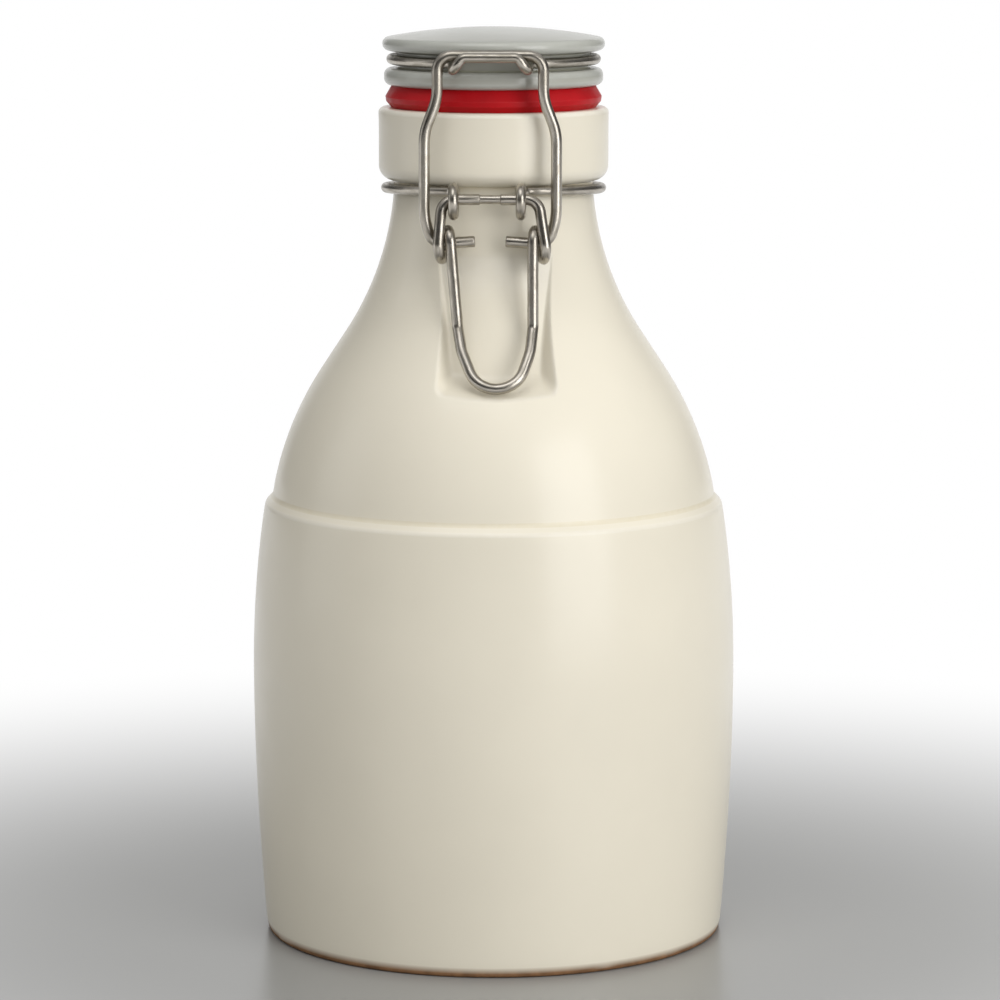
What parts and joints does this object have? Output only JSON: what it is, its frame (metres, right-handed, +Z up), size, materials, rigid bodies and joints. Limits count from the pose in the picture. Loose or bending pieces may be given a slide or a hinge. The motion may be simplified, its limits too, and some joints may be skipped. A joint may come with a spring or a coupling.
{
  "type": "ceramic growler",
  "caption": "Glazed ceramic bottle with a stepped shoulder, thumb recess and a wire swing-top closure holding a porcelain lid on a red gasket, shut.",
  "frame": {"origin": "middle of the foot, on the surface the bottle stands on", "axes": "+Z up the bottle's axis; -Y is the front, where the lever hangs; +X to the right seen from the front"},
  "size_m": [0.1382, 0.1382, 0.2591],
  "materials": {
    "cream_glaze": "glossy",
    "white_porcelain": "glossy",
    "red_rubber": "satin",
    "steel_wire": "drawn"
  },
  "bodies": {
    "root": {"bottle": "cream_glaze", "gasket": "red_rubber", "lid": "white_porcelain", "neck_wire": "steel_wire", "lid_wire": "steel_wire", "lever": "steel_wire", "bail": "steel_wire"}
  },
  "joints": []
}
